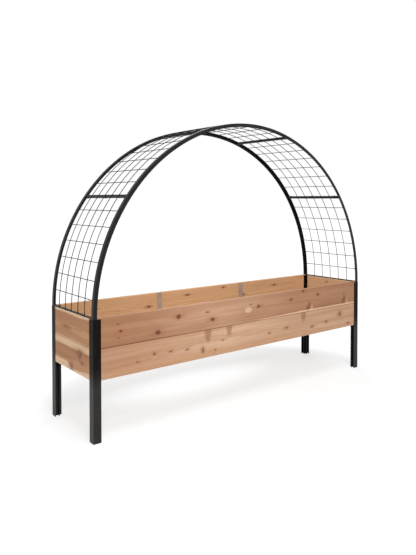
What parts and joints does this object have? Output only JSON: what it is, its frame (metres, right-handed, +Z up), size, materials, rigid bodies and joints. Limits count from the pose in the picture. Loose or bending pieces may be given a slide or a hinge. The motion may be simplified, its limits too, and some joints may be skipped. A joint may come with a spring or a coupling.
{
  "type": "planter with trellis",
  "caption": "Raised cedar planter box on steel corner legs, with a half-round arched wire-mesh trellis over it for climbing plants.",
  "frame": {"origin": "on the ground at the middle of the four legs", "axes": "+X along the box's long side, +Y from the front (plaque side) to the rear, +Z up"},
  "size_m": [2.46, 0.59, 1.9547],
  "materials": {
    "leg_powder_coat": "satin dark bronze-charcoal powder coat on folded sheet steel",
    "rail_powder_coat": "satin dark charcoal powder coat on rolled angle",
    "bar_powder_coat": "satin dark charcoal powder coat on flat bar",
    "wire_powder_coat": "satin dark charcoal powder coat on welded wire",
    "cedar_wall": "smooth planed, unfinished knotty cedar",
    "cedar_floor": "rough sawn, unfinished cedar",
    "mill_aluminium": "plain mill finish, slightly dull",
    "brass_plate": "satin brass with a polished rim",
    "black_fasteners": "black oxide",
    "steel_screws": "plain stainless"
  },
  "bodies": {
    "root": {"floor_slat_1": "cedar_floor", "floor_slat_2": "cedar_floor", "floor_slat_3": "cedar_floor", "floor_slat_4": "cedar_floor", "foot_bar_screws": "steel_screws", "front_left_leg": "leg_powder_coat", "front_left_strap": "mill_aluminium", "front_lower_board": "cedar_wall", "front_right_leg": "leg_powder_coat", "front_right_strap": "mill_aluminium", "front_upper_board": "cedar_wall", "ledger_screws": "steel_screws", "left_cross_tube": "mill_aluminium", "left_end_ledger": "mill_aluminium", "left_lower_board": "cedar_wall", "left_panel_1_foot_bar": "bar_powder_coat", "left_panel_1_front_rail": "rail_powder_coat", "left_panel_1_high_bar": "bar_powder_coat", "left_panel_1_mesh": "wire_powder_coat", "left_panel_1_rear_rail": "rail_powder_coat", "left_panel_2_front_rail": "rail_powder_coat", "left_panel_2_high_bar": "bar_powder_coat", "left_panel_2_low_bar": "bar_powder_coat", "left_panel_2_mesh": "wire_powder_coat", "left_panel_2_rear_rail": "rail_powder_coat", "left_upper_board": "cedar_wall", "leg_screws": "black_fasteners", "plaque": "brass_plate", "plaque_pins": "brass_plate", "rear_left_leg": "leg_powder_coat", "rear_left_strap": "mill_aluminium", "rear_lower_board": "cedar_wall", "rear_right_leg": "leg_powder_coat", "rear_right_strap": "mill_aluminium", "rear_upper_board": "cedar_wall", "right_cross_tube": "mill_aluminium", "right_end_ledger": "mill_aluminium", "right_lower_board": "cedar_wall", "right_panel_1_foot_bar": "bar_powder_coat", "right_panel_1_front_rail": "rail_powder_coat", "right_panel_1_high_bar": "bar_powder_coat", "right_panel_1_mesh": "wire_powder_coat", "right_panel_1_rear_rail": "rail_powder_coat", "right_panel_2_front_rail": "rail_powder_coat", "right_panel_2_high_bar": "bar_powder_coat", "right_panel_2_low_bar": "bar_powder_coat", "right_panel_2_mesh": "wire_powder_coat", "right_panel_2_rear_rail": "rail_powder_coat", "right_upper_board": "cedar_wall", "strap_screws": "steel_screws", "top_panel_front_rail": "rail_powder_coat", "top_panel_high_bar": "bar_powder_coat", "top_panel_low_bar": "bar_powder_coat", "top_panel_mesh": "wire_powder_coat", "top_panel_rear_rail": "rail_powder_coat", "trellis_bolts": "black_fasteners", "trellis_nuts": "black_fasteners"}
  },
  "joints": []
}
